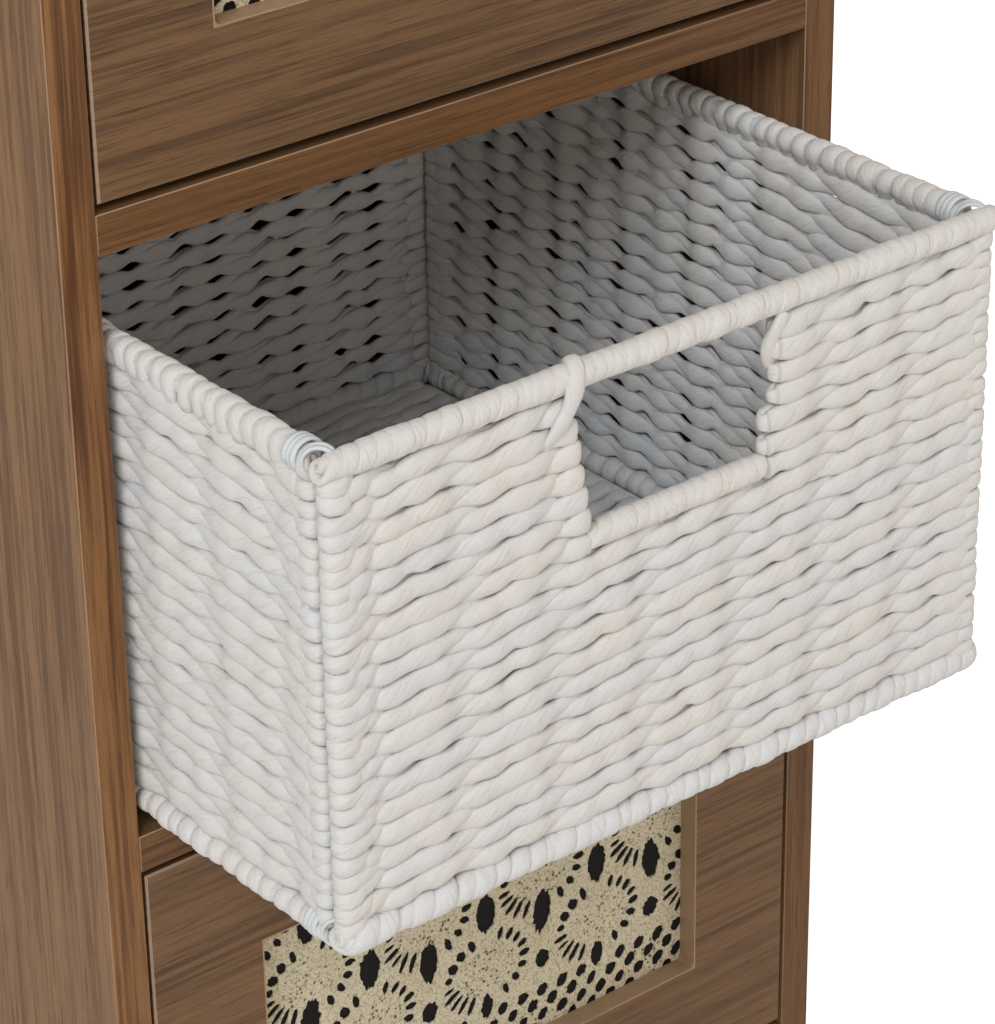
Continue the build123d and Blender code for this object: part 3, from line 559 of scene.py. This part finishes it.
class Strands:
    """Collects the tubes of one piece of rope work."""

    def __init__(self, seed):
        self.random = np.random.default_rng(seed)
        self.points = []
        self.faces = []
        self.turns = []
        self.tones = []
        self.count = 0

    def add(self, path, widths, depths, wide_way, closed=False, sides=12, flatness=0.75):
        """A flattened tube along a path. The width is measured along wide_way and the depth across it."""
        rings = len(path)
        shut = np.ones(rings)
        if closed:
            ahead = np.roll(path, -1, 0) - np.roll(path, 1, 0)
        else:
            ahead = np.gradient(path, axis=0)
            shut[[0, -1]] = tapered_end
        ahead = ahead / np.linalg.norm(ahead, axis=1, keepdims=True)
        deep_way = np.cross(ahead, wide_way)
        deep_way = deep_way / np.linalg.norm(deep_way, axis=1, keepdims=True)
        wide_way = np.cross(deep_way, ahead)
        steps = np.linalg.norm(np.diff(path, axis=0), axis=1)
        distance = (np.concatenate([[0], np.cumsum(steps)]) / mm)[:, None]
        turn = np.linspace(0, 2 * math.pi, sides, endpoint=False)[None, :]
        shift = self.random.uniform(0, any_phase, 4)
        lumps = 1 + 0.035 * np.sin(distance * 0.55 + shift[0]) + 0.03 * np.sin(distance * 0.23 + shift[1])
        lumps = lumps + 0.035 * np.sin(2 * turn + distance * 0.33 + shift[2])
        lumps = lumps + 0.025 * np.sin(3 * turn + distance * 0.5 + shift[3])
        wide = np.sign(np.cos(turn)) * np.abs(np.cos(turn)) ** flatness * lumps
        deep = np.sign(np.sin(turn)) * np.abs(np.sin(turn)) ** flatness * lumps
        wide = (np.broadcast_to(widths, rings)[:, None] * wide * shut[:, None])[:, :, None]
        deep = (np.broadcast_to(depths, rings)[:, None] * deep * shut[:, None])[:, :, None]
        shell = path[:, None, :] + wide * wide_way[:, None, :] + deep * deep_way[:, None, :]
        index = self.count + np.arange(rings * sides).reshape(rings, sides)
        here = index if closed else index[:-1]
        there = np.roll(index, -1, 0) if closed else index[1:]
        quads = np.stack([here, np.roll(here, -1, 1), np.roll(there, -1, 1), there], axis=-1)
        twist = turn + distance * strand_twist + shift[0]
        start = self.random.uniform(0, 1000)
        along = np.broadcast_to(distance + start, twist.shape)
        self.points.append(shell.reshape(-1, 3))
        self.faces.append(quads.reshape(-1, 4))
        self.turns.append(np.stack([np.cos(twist), np.sin(twist), along], axis=-1).reshape(-1, 3))
        self.tones.append(np.full(rings * sides, self.random.uniform()))
        self.count += rings * sides

    def piece(self, name, material, slot, *nodes):
        """Joins the tubes in one piece that rides on the basket."""
        mesh = bpy.data.meshes.new(name)
        mesh.from_pydata(np.concatenate(self.points), [], np.concatenate(self.faces))
        turns = mesh.attributes.new("winding", "FLOAT_VECTOR", "POINT")
        turns.data.foreach_set("vector", np.concatenate(self.turns).ravel())
        tones = mesh.attributes.new("tone", "FLOAT", "POINT")
        tones.data.foreach_set("value", np.concatenate(self.tones))
        mesh.polygons.foreach_set("use_smooth", np.ones(len(mesh.polygons), dtype=bool))
        mesh.materials.append(material)
        mesh.update()
        made = bpy.data.objects.new(name, mesh)
        bpy.context.collection.objects.link(made)
        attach(made, "basket")
        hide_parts(*nodes)


paper, tree, shader = new_material("paper_rope")
winding = add(tree, "Attribute")
winding.attribute_name = "winding"
tone = add(tree, "Attribute")
tone.attribute_name = "tone"
place = add(tree, "TexCoord").outputs["Object"]
creases = noise(tree, stretched(tree, winding.outputs["Vector"], 1.7, 1.7, 0.07), 1.6, 3.0, 0.6)
fibres = noise(tree, stretched(tree, winding.outputs["Vector"], 6.0, 6.0, 0.3), 2.0, 2.0, 0.6)
patches = between(tree, noise(tree, place, 42.0, 2.0), 0.38, 0.68)
base = mix(tree, patches, *paper_colours)
cool = between(tree, tone.outputs["Fac"], 0.6, 0.95)
base = mix(tree, calc(tree, "MULTIPLY", cool, 0.7), base, cool_paper)
warm = noise(tree, stretched(tree, winding.outputs["Vector"], 0.3, 0.3, 0.05), 1.0, 1.0)
warm = between(tree, warm, 0.5, 0.75)
base = mix(tree, calc(tree, "MULTIPLY", warm, 0.35), base, warm_paper)
# Painted shade darkens the hollows of the creases.
crease_shade_mask = between(tree, creases, 0.48, 0.30)
base = mix(tree, calc(tree, "MULTIPLY", crease_shade_mask, 0.35), base, crease_shade_paper)
tree.links.new(base, shader.inputs["Base Color"])
shader.inputs["Roughness"].default_value = 0.72
shader.inputs["Specular IOR Level"].default_value = 0.25
shader.inputs["Sheen Weight"].default_value = 0.1
bump(tree, shader, calc(tree, "MULTIPLY_ADD", fibres, 0.25, creases), 0.9 * mm, 0.55)


# Basket walls and floor. Rows of two strands twisted round each other, wound over upright stakes and
# pinched midway between them. Short lengths of rope are carried round the walls' upright edges.
row_pitch = 9.0 * mm
lay = 82 * mm
stake_pitch = lay / 4
stake_start, notch_start = 5.7 * mm, 16 * mm
stake_half, stake_margin, stake_sink = 1.3 * mm, 8 * mm, 3 * mm
strand_half_height, strand_swell, strand_half_depth = 3.5 * mm, 1.5 * mm, 2.5 * mm
ply_rise, ply_reach = 1.9 * mm, 1.8 * mm
notch_half_width, notch_slant = 5.2 * mm, 1.9 * mm
notch_drift, shut_reach = 1.6 * mm, (-165 * mm, -95 * mm)
bend_reach, bend_hold = 2.0 * mm, 14 * mm
twist_wave, level_wave, stake_wave = 190 * mm, 120 * mm, 90 * mm
step, wall_margin = 2.2 * mm, 6 * mm


def wander(random, along, wave, size):
    """A slow irregular drift along a strand."""
    total = np.zeros_like(along)
    for part in (1.0, 1.7, 2.9):
        total += np.sin(2 * math.pi * along * part / wave + random.uniform(0, any_phase)) / (1.5 * part)
    return size * total


def rope_row(strands, wall, start, end, level, seam, hand, notches, shut=1.0):
    """One row between two places along a wall, as a closed loop of two strands that cross and turn back.

    The notches are the least and the greatest pinch. Shut below 1 closes them towards the wall's front."""
    random = strands.random
    origin, along_way, up_way, out_way = wall
    along = np.linspace(start + step, end - step, max(4, int((end - start) / step)))
    phase = 2 * math.pi * (along - seam) / lay + math.pi / 2 + random.normal(0, 0.16)
    phase = phase + wander(random, along, twist_wave, 0.2)
    phase = phase - 0.2 * np.sin(2 * phase)
    for edge, distance in ((0, along - along[0]), (-1, along[-1] - along)):
        settled = math.pi * round(phase[edge] / math.pi)
        hold = np.clip(1 - distance / bend_hold, 0, 1)
        hold = hold * hold * (3 - 2 * hold)
        phase = phase * (1 - hold) + settled * hold
    above, below = np.zeros_like(along), np.zeros_like(along)
    first = math.floor((start - seam) / stake_pitch) - 1
    for count in range(first, first + int((end - start) / stake_pitch) + 4):
        place = seam + notch_start + count * stake_pitch + random.normal(0, notch_drift)
        share = 1.0 if count % 2 == 0 else 0.84
        share = share * np.interp(place, shut_reach, (shut, 1.0))
        for notch, shift in ((above, -notch_slant), (below, notch_slant)):
            size = share * random.uniform(*notches)
            away = np.abs(along - place - shift) / notch_half_width
            notch[:] = np.maximum(notch, size * np.exp(-away ** 1.7))
    drift = level + wander(random, along, level_wave, 0.3 * mm)
    high = (strand_half_height + strand_swell * np.cos(phase) ** 2) * random.uniform(0.95, 1.05)
    drift = drift + high * (below - above) / 2
    pinch = (above + below) / 2
    high = high * (1 - pinch)
    deep = strand_half_depth * (1 - 0.85 * pinch)
    rise = hand * ply_rise * np.sin(phase) * (1 - pinch)
    reach = ply_reach * np.cos(phase) * (1 - 1.3 * pinch)
    bend = np.linspace(0, math.pi, 7)[1:-1]
    places = np.concatenate([along, along[-1] + bend_reach * np.sin(bend), along[::-1],
                             along[0] - bend_reach * np.sin(bend)])
    swing = np.cos(bend)
    rises = np.concatenate([rise, rise[-1] * swing, -rise[::-1], -rise[0] * swing])
    reaches = np.concatenate([reach, reach[-1] * swing, -reach[::-1], -reach[0] * swing])
    levels = np.concatenate([drift, np.full(5, drift[-1]), drift[::-1], np.full(5, drift[0])])
    rounded = 1 - 0.25 * np.sin(bend)
    highs = np.concatenate([high, high[-1] * rounded, high[::-1], high[0] * rounded])
    deeps = np.concatenate([deep, deep[-1] * rounded, deep[::-1], deep[0] * rounded])
    path = origin + places[:, None] * along_way + (levels + rises)[:, None] * up_way
    path = path + reaches[:, None] * out_way
    strands.add(path, highs, deeps, up_way, closed=True)


def smoothed(points, rounds=2):
    """A path with its corners cut."""
    for _ in range(rounds):
        quarter = points[:-1] * 0.75 + points[1:] * 0.25
        last = points[:-1] * 0.25 + points[1:] * 0.75
        middle_points = np.stack([quarter, last], 1).reshape(-1, points.shape[1])
        points = np.concatenate([points[:1], middle_points, points[-1:]])
    return points


def edge_wraps(strands, wall, edge, inward, low, high, hand):
    """Strands carried round a wall's upright edge, with their tails running in among the rows.

    Each point of a strand's line is in from the edge, out from the wall and up, in millimetres."""
    random = strands.random
    origin, along_way, up_way, out_way = wall
    level = low
    while level < high:
        tail = random.uniform(12, 19)
        lift = inward * hand * random.uniform(1.0, 3.2)
        sag = random.uniform(-0.8, 0.8)
        front = [(tail, 0.2, lift), (tail * 0.72, 2.1, lift * 0.5), (7.5, 2.6, 0), (4.6, 2.6, sag * 0.5)]
        bend = [(2.6, 1.9, sag), (2.1, 0, sag), (2.6, -1.9, sag)]
        back = [(inset, -out, -rise) for inset, out, rise in front[::-1]]
        line = smoothed(np.array(front + bend + back) * mm)
        path = origin + (edge + inward * line[:, :1]) * along_way + line[:, 1:2] * out_way
        path = path + (level + line[:, 2:]) * up_way
        share = np.sin(np.linspace(0, math.pi, len(line)))
        width = (1.6 + 2.0 * share ** 0.5) * random.uniform(0.93, 1.08) * mm
        strands.add(path, width, 2.1 * mm * (0.6 + 0.4 * share), up_way)
        level += random.uniform(6.0, 7.2) * mm


def stakes(strands, wall, seam, start, end, low, top):
    """The upright stakes that the rows pass on either side of."""
    random = strands.random
    origin, along_way, up_way, _ = wall
    first = math.ceil((start - seam - stake_start) / stake_pitch)
    place = seam + stake_start + first * stake_pitch
    while place < end:
        rise = np.linspace(low, top(place), 24)
        lean = wander(random, rise, stake_wave, 0.35 * mm)
        path = origin + (place + lean)[:, None] * along_way + rise[:, None] * up_way
        strands.add(path, stake_half, stake_half, along_way, sides=8)
        place += stake_pitch


axis_x, axis_y, axis_z = np.eye(3)
foot_height = 12 * mm
foot_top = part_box("basket_foot_bars")[0].z + foot_height
rim_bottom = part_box("basket_front_rim")[0].z
# The hand hole's left side slopes, and its right side steps in over the hand bar.
hole_left, hole_right, hole_low = -45.5 * mm, 38.5 * mm, 405.3 * mm
hand_bar_level, slope_start, hole_slope = 409.8 * mm, 414 * mm, 0.175
step_level, step_width = 428 * mm, 4.5 * mm
# Two strands tie the wall to the rim on either side of the hole: points along them in millimetres.
over_rim = [(-66, -232, 446), (-61.5, -237.6, 455), (-57, -239.4, 464), (-54.5, -239.6, 471),
            (-52.5, -237, 476.5), (-51, -233, 478), (-50, -229, 475)]
down_side = [(42, -237, 468), (39, -236.5, 463), (37, -234.5, 457), (37.5, -233, 450), (41, -232, 446)]
# Each wall: the way along it, the way out, the twist's hand, the seam, the least and greatest pinch, and
# the seed of its random numbers.
wall_ways = {
    "front": (axis_x, -axis_y, 1, -18 * mm, (0.03, 0.45), 11),
    "back": (axis_x, axis_y, -1, -5 * mm, (0.42, 0.76), 12),
    "left": (axis_y, -axis_x, 1, -40 * mm, (0.03, 0.42), 13),
    "right": (axis_y, axis_x, -1, -30 * mm, (0.40, 0.78), 14),
}
for side, (along_way, out_way, hand, seam, notches, seed) in wall_ways.items():
    node = f"basket_{side}_weave"
    low, high = (np.array(corner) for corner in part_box(node))
    middle = (low + high) / 2
    start, end = float(low @ along_way), float(high @ along_way)
    origin = middle * (1 - along_way) * (1 - axis_z)
    wall = origin, along_way, axis_z, out_way
    strands = Strands(seed)
    rows = round((rim_bottom - foot_top) / row_pitch)
    for row in range(rows):
        level = foot_top + (row + 0.5) * (rim_bottom - foot_top) / rows
        reaches = [(start + wall_margin, end - wall_margin)]
        if side == "front" and level > hole_low - 2 * mm:
            slope = hole_slope * (level - slope_start)
            step_in = step_width if level < step_level else 0
            left_end = hole_left - slope + strands.random.uniform(-0.8, 0.8) * mm
            right_end = hole_right - step_in + strands.random.uniform(-0.4, 0.4) * mm
            reaches = [(start + wall_margin, left_end), (right_end, end - wall_margin)]
        shut = 0.3 if side == "right" else 1.0
        for first, last in reaches:
            rope_row(strands, wall, first, last, level, seam, hand, notches, shut)
    edge_wraps(strands, wall, start, 1, foot_top - 1 * mm, rim_bottom, hand)
    edge_wraps(strands, wall, end, -1, foot_top - 1 * mm, rim_bottom, hand)
    if side == "front":
        for wrap in (over_rim, down_side):
            line = smoothed(np.array(wrap, dtype=float) * mm)
            ends = np.sin(np.linspace(0.3, math.pi - 0.3, len(line))) ** 0.5
            strands.add(line, 3.4 * mm * ends, 1.9 * mm * ends, axis_x)

    def stake_top(place, side=side):
        """Where a stake ends: in the hand bar under the hole, and in the rim elsewhere."""
        under_hole = side == "front" and hole_left - 9 * mm < place < hole_right + 2 * mm
        return hand_bar_level if under_hole else rim_bottom + stake_sink

    stakes(strands, wall, seam, start + stake_margin, end - stake_margin, foot_top - stake_sink, stake_top)
    strands.piece(f"basket_{side}_rope", paper, "paper_rope", node)

low, high = (np.array(corner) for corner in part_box("basket_floor_weave"))
floor_rise, floor_margin, floor_seam = 3.1 * mm, 4.5 * mm, -20 * mm
floor = (low[2] + floor_rise) * axis_z, axis_x, axis_y, axis_z
strands = Strands(15)
rows = round((high[1] - low[1]) / row_pitch)
for row in range(rows):
    level = low[1] + (row + 0.5) * (high[1] - low[1]) / rows
    rope_row(strands, floor, low[0], high[0] - floor_margin, level, floor_seam, 1, (0.05, 0.5))
strands.piece("basket_floor_rope", paper, "paper_rope", "basket_floor_weave")


# Basket rims, foot and hand bar. Rope wound round the wire frame turn by turn; along the two sides the turns
# reach down over the first row.
def wound_bar(strands, start, end, radius, half_width, half_deep, pitch, droop, lumps, flatness, outward=0):
    """Rope wound round a bar, with domed ends, and the core under it.

    The turns droop by up to the given length, on the outer side alone where outward is 1 or -1."""
    random = strands.random
    start, end = np.array(start), np.array(end)
    length = np.linalg.norm(end - start)
    axis = (end - start) / length
    beside = np.cross(axis, axis_z)
    turns = int(length / pitch)
    per_turn, end_gap = 16, 0.9 * mm
    steps = np.cumsum(np.repeat(random.uniform(0.7, 1.3, turns), per_turn))
    place = end_gap + (length - 2 * end_gap) * (steps - steps[0]) / (steps[-1] - steps[0])
    angle = np.arange(len(place)) * 2 * math.pi / per_turn
    angle = angle + wander(random, place, 60 * mm, 0.3)
    to_end = np.minimum(place, length - place)
    dome = np.clip(to_end / radius, 0.05, 1)
    dome = np.sqrt(dome * (2 - dome))
    each_point, each_turn = np.arange(len(place)), np.arange(turns + 1) * per_turn
    swell = np.interp(each_point, each_turn, random.normal(1, lumps * 0.5, turns + 1))
    reach = (radius - half_deep) * dome * np.clip(swell, 0.9, 1.12)
    up = np.sin(angle)
    hang = np.interp(each_point, each_turn, random.uniform(0.5, 1.3, turns + 1)) * droop
    outside = np.clip(0.5 + 1.2 * outward * np.cos(angle), 0, 1) if outward else 1.0
    lift = reach * up - np.where(up < 0, -up * hang * outside, 0)
    leaning = place + 1.1 * mm * np.sin(angle) * dome
    path = start + leaning[:, None] * axis + (reach * np.cos(angle))[:, None] * beside
    path = path + lift[:, None] * axis_z
    width = half_width * np.clip(swell, 0.85, 1.15) * np.clip(to_end / half_width, 0.3, 1)
    strands.add(path, width, half_deep * np.clip(to_end / half_width, 0.3, 1), axis, flatness=flatness)
    core_gap = 0.6 * mm
    place = np.linspace(core_gap, length - core_gap, 90)
    dome = np.clip(np.minimum(place, length - place) / radius, 0, 1)
    core = radius * 0.8 * np.sqrt(dome * (2 - dome))
    strands.add(start + place[:, None] * axis, core, core, axis_z, flatness=1.0)


def bar_ends(node, level=None):
    """The ends of a straight bar in place of a CAD node, at the node's own level or at another."""
    low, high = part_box(node)
    middle = (low + high) / 2
    level = middle.z if level is None else level
    if high.x - low.x > high.y - low.y:
        return (low.x, middle.y, level), (high.x, middle.y, level)
    return (middle.x, low.y, level), (middle.x, high.y, level)


front_rim = {"radius": 5.0 * mm, "half_width": 3.7 * mm, "half_deep": 1.5 * mm, "pitch": 5.3 * mm,
             "droop": 0.5 * mm, "lumps": 0.12, "flatness": 0.65}
side_rim = {"radius": 5.2 * mm, "half_width": 3.9 * mm, "half_deep": 2.2 * mm, "pitch": 7.0 * mm,
            "droop": 5.5 * mm, "lumps": 0.22, "flatness": 0.9}
foot_border = {"radius": 6 * mm, "half_width": 4.3 * mm, "half_deep": 2.2 * mm, "pitch": 7.4 * mm,
               "droop": -0.8 * mm, "lumps": 0.24, "flatness": 0.9}
hand_bar = {"radius": 4.8 * mm, "half_width": 3.6 * mm, "half_deep": 1.5 * mm, "pitch": 5.3 * mm,
            "droop": 0.3 * mm, "lumps": 0.12, "flatness": 0.65}
for side, outward, seed in (("front", 0, 35), ("back", 0, 34), ("left", -1, 24), ("right", 1, 25)):
    strands = Strands(seed)
    rim = side_rim if outward else front_rim
    wound_bar(strands, *bar_ends(f"basket_{side}_rim"), **rim, outward=outward)
    strands.piece(f"basket_{side}_rim_rope", paper, "paper_rope", f"basket_{side}_rim")

strands = Strands(40)
foot_level = foot_top - foot_height / 2
for side in ("front", "back", "left", "right"):
    wound_bar(strands, *bar_ends(f"basket_{side}_rim", foot_level), **foot_border)
strands.piece("basket_foot_rope", paper, "paper_rope", "basket_foot_bars")

strands = Strands(41)
wound_bar(strands, *bar_ends("basket_hand_bar"), **hand_bar)
strands.piece("basket_hand_bar_rope", paper, "paper_rope", "basket_hand_bar")


# Corner ties. A few turns of smooth white string lash each side bar to the front and back frames, at the
# rim and at the foot.
string_colours = (0.56, 0.60, 0.64), (0.62, 0.65, 0.68)
string, tree, shader = new_material("tie_string")
winding = add(tree, "Attribute")
winding.attribute_name = "winding"
twist = noise(tree, stretched(tree, winding.outputs["Vector"], 2.0, 2.0, 1.2), 1.5, 2.0)
tree.links.new(mix(tree, twist, *string_colours), shader.inputs["Base Color"])
shader.inputs["Roughness"].default_value = 0.55
bump(tree, shader, twist, 0.4 * mm, 0.6)
strands = Strands(50)
string_half = 0.75 * mm
coil_radius, coil_turns, coil_start, coil_length = 4.9 * mm + string_half, 2.6, 4.5 * mm, 5.5 * mm
loop_start, loop_turns, loop_slip, foot_tie_rise = 0.6, 1.4, 2.4 * mm, 0.8 * mm
for side in ("left", "right"):
    low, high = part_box(f"basket_{side}_rim")
    middle = (low + high) / 2
    for level in (middle.z, foot_level + foot_tie_rise):
        for corner, way in ((low.y, 1), (high.y, -1)):
            angle = np.linspace(0, 2 * math.pi * coil_turns, 60)
            along = corner + way * (coil_start + coil_length * angle / angle[-1])
            across, up = coil_radius * np.cos(angle), coil_radius * np.sin(angle)
            coil = np.stack([middle.x + across, along, level + up], axis=-1)
            strands.add(coil, 1.9 * string_half, string_half, axis_y, sides=8)
            angle = np.linspace(loop_start, loop_start + 2 * math.pi * loop_turns, 40)
            lean = np.array([0.75, -way * 0.66, 0.0])
            loop_axis = np.cross(axis_z, lean)
            centre = np.array([middle.x, corner - way * 1.5 * mm, level])
            swing = coil_radius * (np.cos(angle)[:, None] * lean + np.sin(angle)[:, None] * axis_z)
            slip = (loop_slip * (angle - angle.mean()) / 6)[:, None] * loop_axis
            strands.add(centre + swing + slip, 1.4 * string_half, string_half, loop_axis, sides=8)
strands.piece("basket_tie_string", string, "tie_string", "basket_corner_ties")


# Wire frames. White-coated steel wire inside the basket's rims and foot keeps its walls straight.
# The rope hides nearly all of it.
wire_colours = (0.58, 0.57, 0.53), (0.66, 0.65, 0.61)
wire, tree, shader = new_material("basket_wire")
coat = noise(tree, add(tree, "TexCoord").outputs["Object"], 800.0, 3.0)
tree.links.new(mix(tree, coat, *wire_colours), shader.inputs["Base Color"])
tree.links.new(calc(tree, "MULTIPLY_ADD", coat, 0.15, 0.4), shader.inputs["Roughness"])
bump(tree, shader, coat, 0.04 * mm, 0.4)
paint("basket_wire_frames", wire)


# Studio. A pale floor and a white background, with broad soft lights from the front left and above, and a
# weak one from the right.
ground = bpy.data.meshes.new("ground")
reach = 6.0
ground_corners = [(-reach, -reach, 0), (reach, -reach, 0), (reach, reach, 0), (-reach, reach, 0)]
ground.from_pydata(ground_corners, [], [(0, 1, 2, 3)])
ground_object = bpy.data.objects.new("ground", ground)
bpy.context.collection.objects.link(ground_object)
floor_paint, tree, shader = new_material("floor_paint")
shade = noise(tree, add(tree, "TexCoord").outputs["Object"], 3.0, 2.0)
tree.links.new(mix(tree, shade, (0.86, 0.86, 0.86), (0.90, 0.90, 0.90)), shader.inputs["Base Color"])
shader.inputs["Roughness"].default_value = 0.9
shader.inputs["Emission Color"].default_value = (1, 1, 1, 1)
floor_glow = 0.75
seen = tree.nodes.new("ShaderNodeLightPath").outputs["Is Camera Ray"]
tree.links.new(calc(tree, "MULTIPLY", seen, floor_glow), shader.inputs["Emission Strength"])
ground.materials.append(floor_paint)

sky_strength, sky_colour, more_when_seen = 0.51, (1.0, 0.90, 0.77), 0.5
world = bpy.data.worlds.new("world")
bpy.context.scene.world = world
world.use_nodes = True
tree = world.node_tree
path = tree.nodes.new("ShaderNodeLightPath")
seen = calc(tree, "MAXIMUM", path.outputs["Is Camera Ray"], path.outputs["Is Transmission Ray"])
plain = tree.nodes["Background"]
tree.links.new(calc(tree, "MULTIPLY_ADD", seen, more_when_seen, sky_strength), plain.inputs["Strength"])
tree.links.new(mix(tree, seen, sky_colour, (1.0, 1.0, 1.0)), plain.inputs["Color"])


def soft_light(name, place, target, size, power, colour):
    """A broad area light aimed at a point."""
    data = bpy.data.lights.new(name, "AREA")
    data.shape = "DISK"
    data.size = size
    data.energy = power
    data.color = colour
    made = bpy.data.objects.new(name, data)
    made.location = place
    made.rotation_euler = (Vector(target) - Vector(place)).to_track_quat("-Z", "Y").to_euler()
    bpy.context.collection.objects.link(made)


soft_light("key_light", (-2.3, -1.5, 2.6), (0, 0, 0.4), 1.8, 68, (0.90, 0.96, 1.0))
soft_light("low_light", (-0.9, -2.6, 1.2), (0, 0, 0.42), 1.2, 10, (1.0, 0.92, 0.82))
soft_light("fill_light", (1.8, -1.8, 1.6), (0, 0, 0.4), 1.6, 10, (1.0, 1.0, 1.0))
bpy.context.scene.view_settings.view_transform = "Standard"
